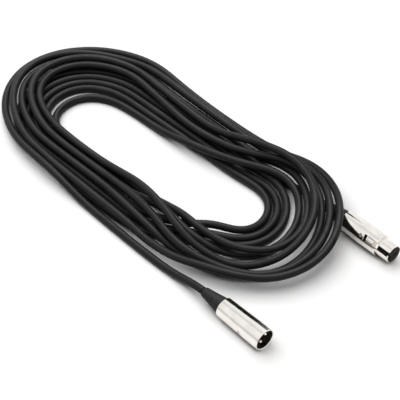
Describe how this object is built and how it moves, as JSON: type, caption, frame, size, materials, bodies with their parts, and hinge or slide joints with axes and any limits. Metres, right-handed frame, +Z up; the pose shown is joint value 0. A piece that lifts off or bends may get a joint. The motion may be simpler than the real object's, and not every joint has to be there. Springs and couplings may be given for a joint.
{
  "type": "microphone cable",
  "caption": "Black microphone cable laid in a long flat coil, with a metal pin plug at its outer end and a metal socket plug with a press latch at its inner end.",
  "frame": {"origin": "on the table under the middle of the whole piece's box, coil and plugs together", "axes": "+X along the coil towards the faces of both plugs, +Y towards the socket plug's side, +Z up from the table"},
  "size_m": [0.3903, 0.1761, 0.0298],
  "materials": {
    "jacket": "satin black",
    "boot": "matte black, shallow grooves",
    "shell": "soft satin nickel",
    "latch": "soft satin nickel",
    "insert": "black moulded",
    "pins": "bright plated",
    "contacts": "plain",
    "steel": "plain",
    "cores": "coloured core sleeves"
  },
  "bodies": {
    "cable": {"cable_coil": "jacket", "male_lead": "jacket", "female_lead": "jacket", "male_shell": "shell", "male_insert": "insert", "male_pin_1": "pins", "male_pin_2": "pins", "male_pin_3": "pins", "male_insert_screw": "steel", "male_clamp": "steel", "male_clamp_saddle": "steel", "male_clamp_screws": "steel", "male_boot": "boot", "male_cable_end": "jacket", "male_wires": "cores", "female_shell": "shell", "female_insert": "insert", "female_contact_1": "contacts", "female_contact_2": "contacts", "female_contact_3": "contacts", "female_insert_screw": "steel", "latch_spring": "steel", "latch_pin": "steel", "female_clamp": "steel", "female_clamp_saddle": "steel", "female_clamp_screws": "steel", "female_boot": "boot", "female_cable_end": "jacket", "female_wires": "cores"},
    "latch": {"latch_lever": "latch"}
  },
  "joints": [
    {"name": "latch_press", "type": "hinge", "parent": "cable", "child": "latch", "pos_m": [0.1701, 0.05575, 0.0123], "axis": [0, 0.5592, 0.829], "range_deg": [0, 6], "stiffness_Nm_per_rad": 0.05, "springref_deg": -5.73, "deforming": ["latch_spring"]}
  ]
}
